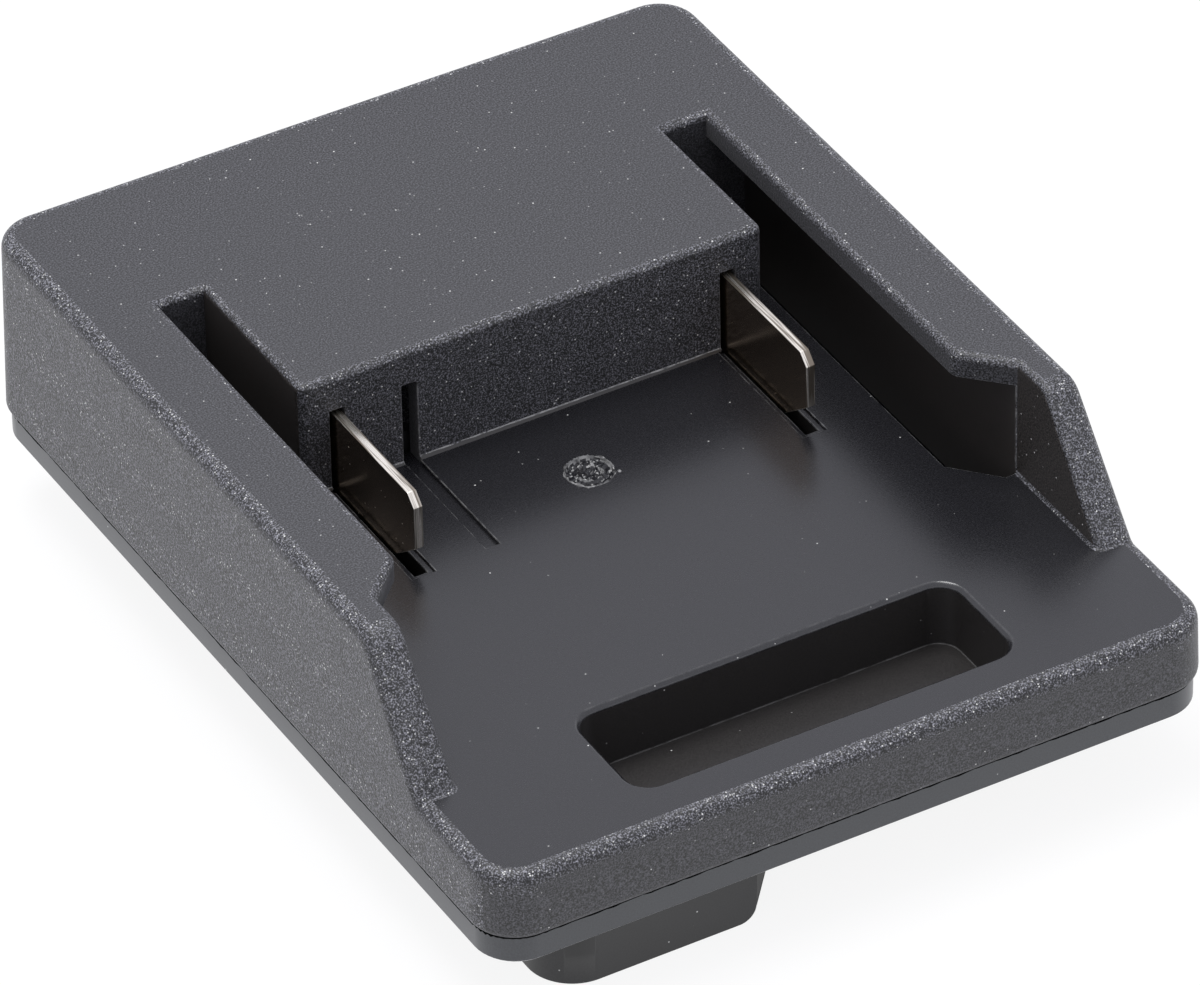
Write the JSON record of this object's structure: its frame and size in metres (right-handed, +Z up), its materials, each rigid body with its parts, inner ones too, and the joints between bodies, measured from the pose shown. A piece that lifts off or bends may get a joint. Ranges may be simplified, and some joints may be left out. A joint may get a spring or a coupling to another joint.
{
  "type": "battery adapter",
  "caption": "Slide-in battery adapter: a ramped tray with undercut rails, a terminal block with flat contact blades, a latch pocket and a docking plug underneath.",
  "frame": {"origin": "middle of the underside that seats on the lamp or tool, halfway between the front and back edges", "axes": "+X to the right seen from the open front, +Y from the open front to the terminal block and back wall, +Z up out of the battery bay"},
  "size_m": [0.08, 0.103, 0.0325],
  "materials": {
    "shell_plastic": "spark-eroded grain",
    "cover_plastic": "fine satin",
    "plug_plastic": "smooth satin",
    "inner_plastic": "smooth satin",
    "contact_metal": "tin plate",
    "blade_metal": "nickel plate",
    "black_insulation": "smooth",
    "red_insulation": "smooth",
    "screw_steel": "zinc plate"
  },
  "bodies": {
    "root": {"top_housing": "shell_plastic", "bottom_cover": "cover_plastic", "docking_plug": "plug_plastic", "plug_lid": "inner_plastic", "terminal_carrier": "inner_plastic", "plug_contact_negative": "contact_metal", "plug_contact_positive": "contact_metal", "blade_negative": "blade_metal", "blade_positive": "blade_metal", "receptacle_negative": "contact_metal", "receptacle_positive": "contact_metal", "lead_negative": "black_insulation", "lead_positive": "red_insulation", "cover_screws": "screw_steel", "carrier_screws": "screw_steel"}
  },
  "joints": []
}
